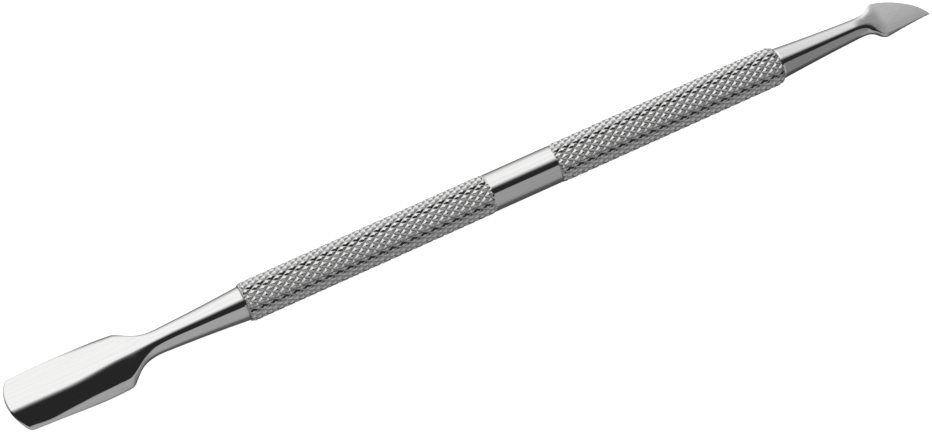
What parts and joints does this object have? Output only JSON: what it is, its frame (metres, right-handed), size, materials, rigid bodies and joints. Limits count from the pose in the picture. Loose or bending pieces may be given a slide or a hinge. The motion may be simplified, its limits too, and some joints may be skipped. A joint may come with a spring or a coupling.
{
  "type": "cuticle pusher",
  "caption": "Double-ended steel cuticle pusher with a knurled round handle, a wide curved pusher blade and a flat pointed scraper blade.",
  "frame": {"origin": "on the handle's axis, at the middle of the plain band between the two grips", "axes": "+X along the handle towards the scraper blade, +Z out of the pusher blade's convex face, +Y completes the frame, towards the scraper's curved edge"},
  "size_m": [0.137, 0.0082, 0.0054],
  "materials": {
    "handle_steel": "bright rolled diamond knurl with a polished plain band",
    "pusher_steel": "mirror-polished stainless steel",
    "scraper_steel": "polished neck, satin-ground flat blade"
  },
  "bodies": {
    "root": {"handle_bar": "handle_steel", "pusher_tip": "pusher_steel", "scraper_tip": "scraper_steel"}
  },
  "joints": []
}
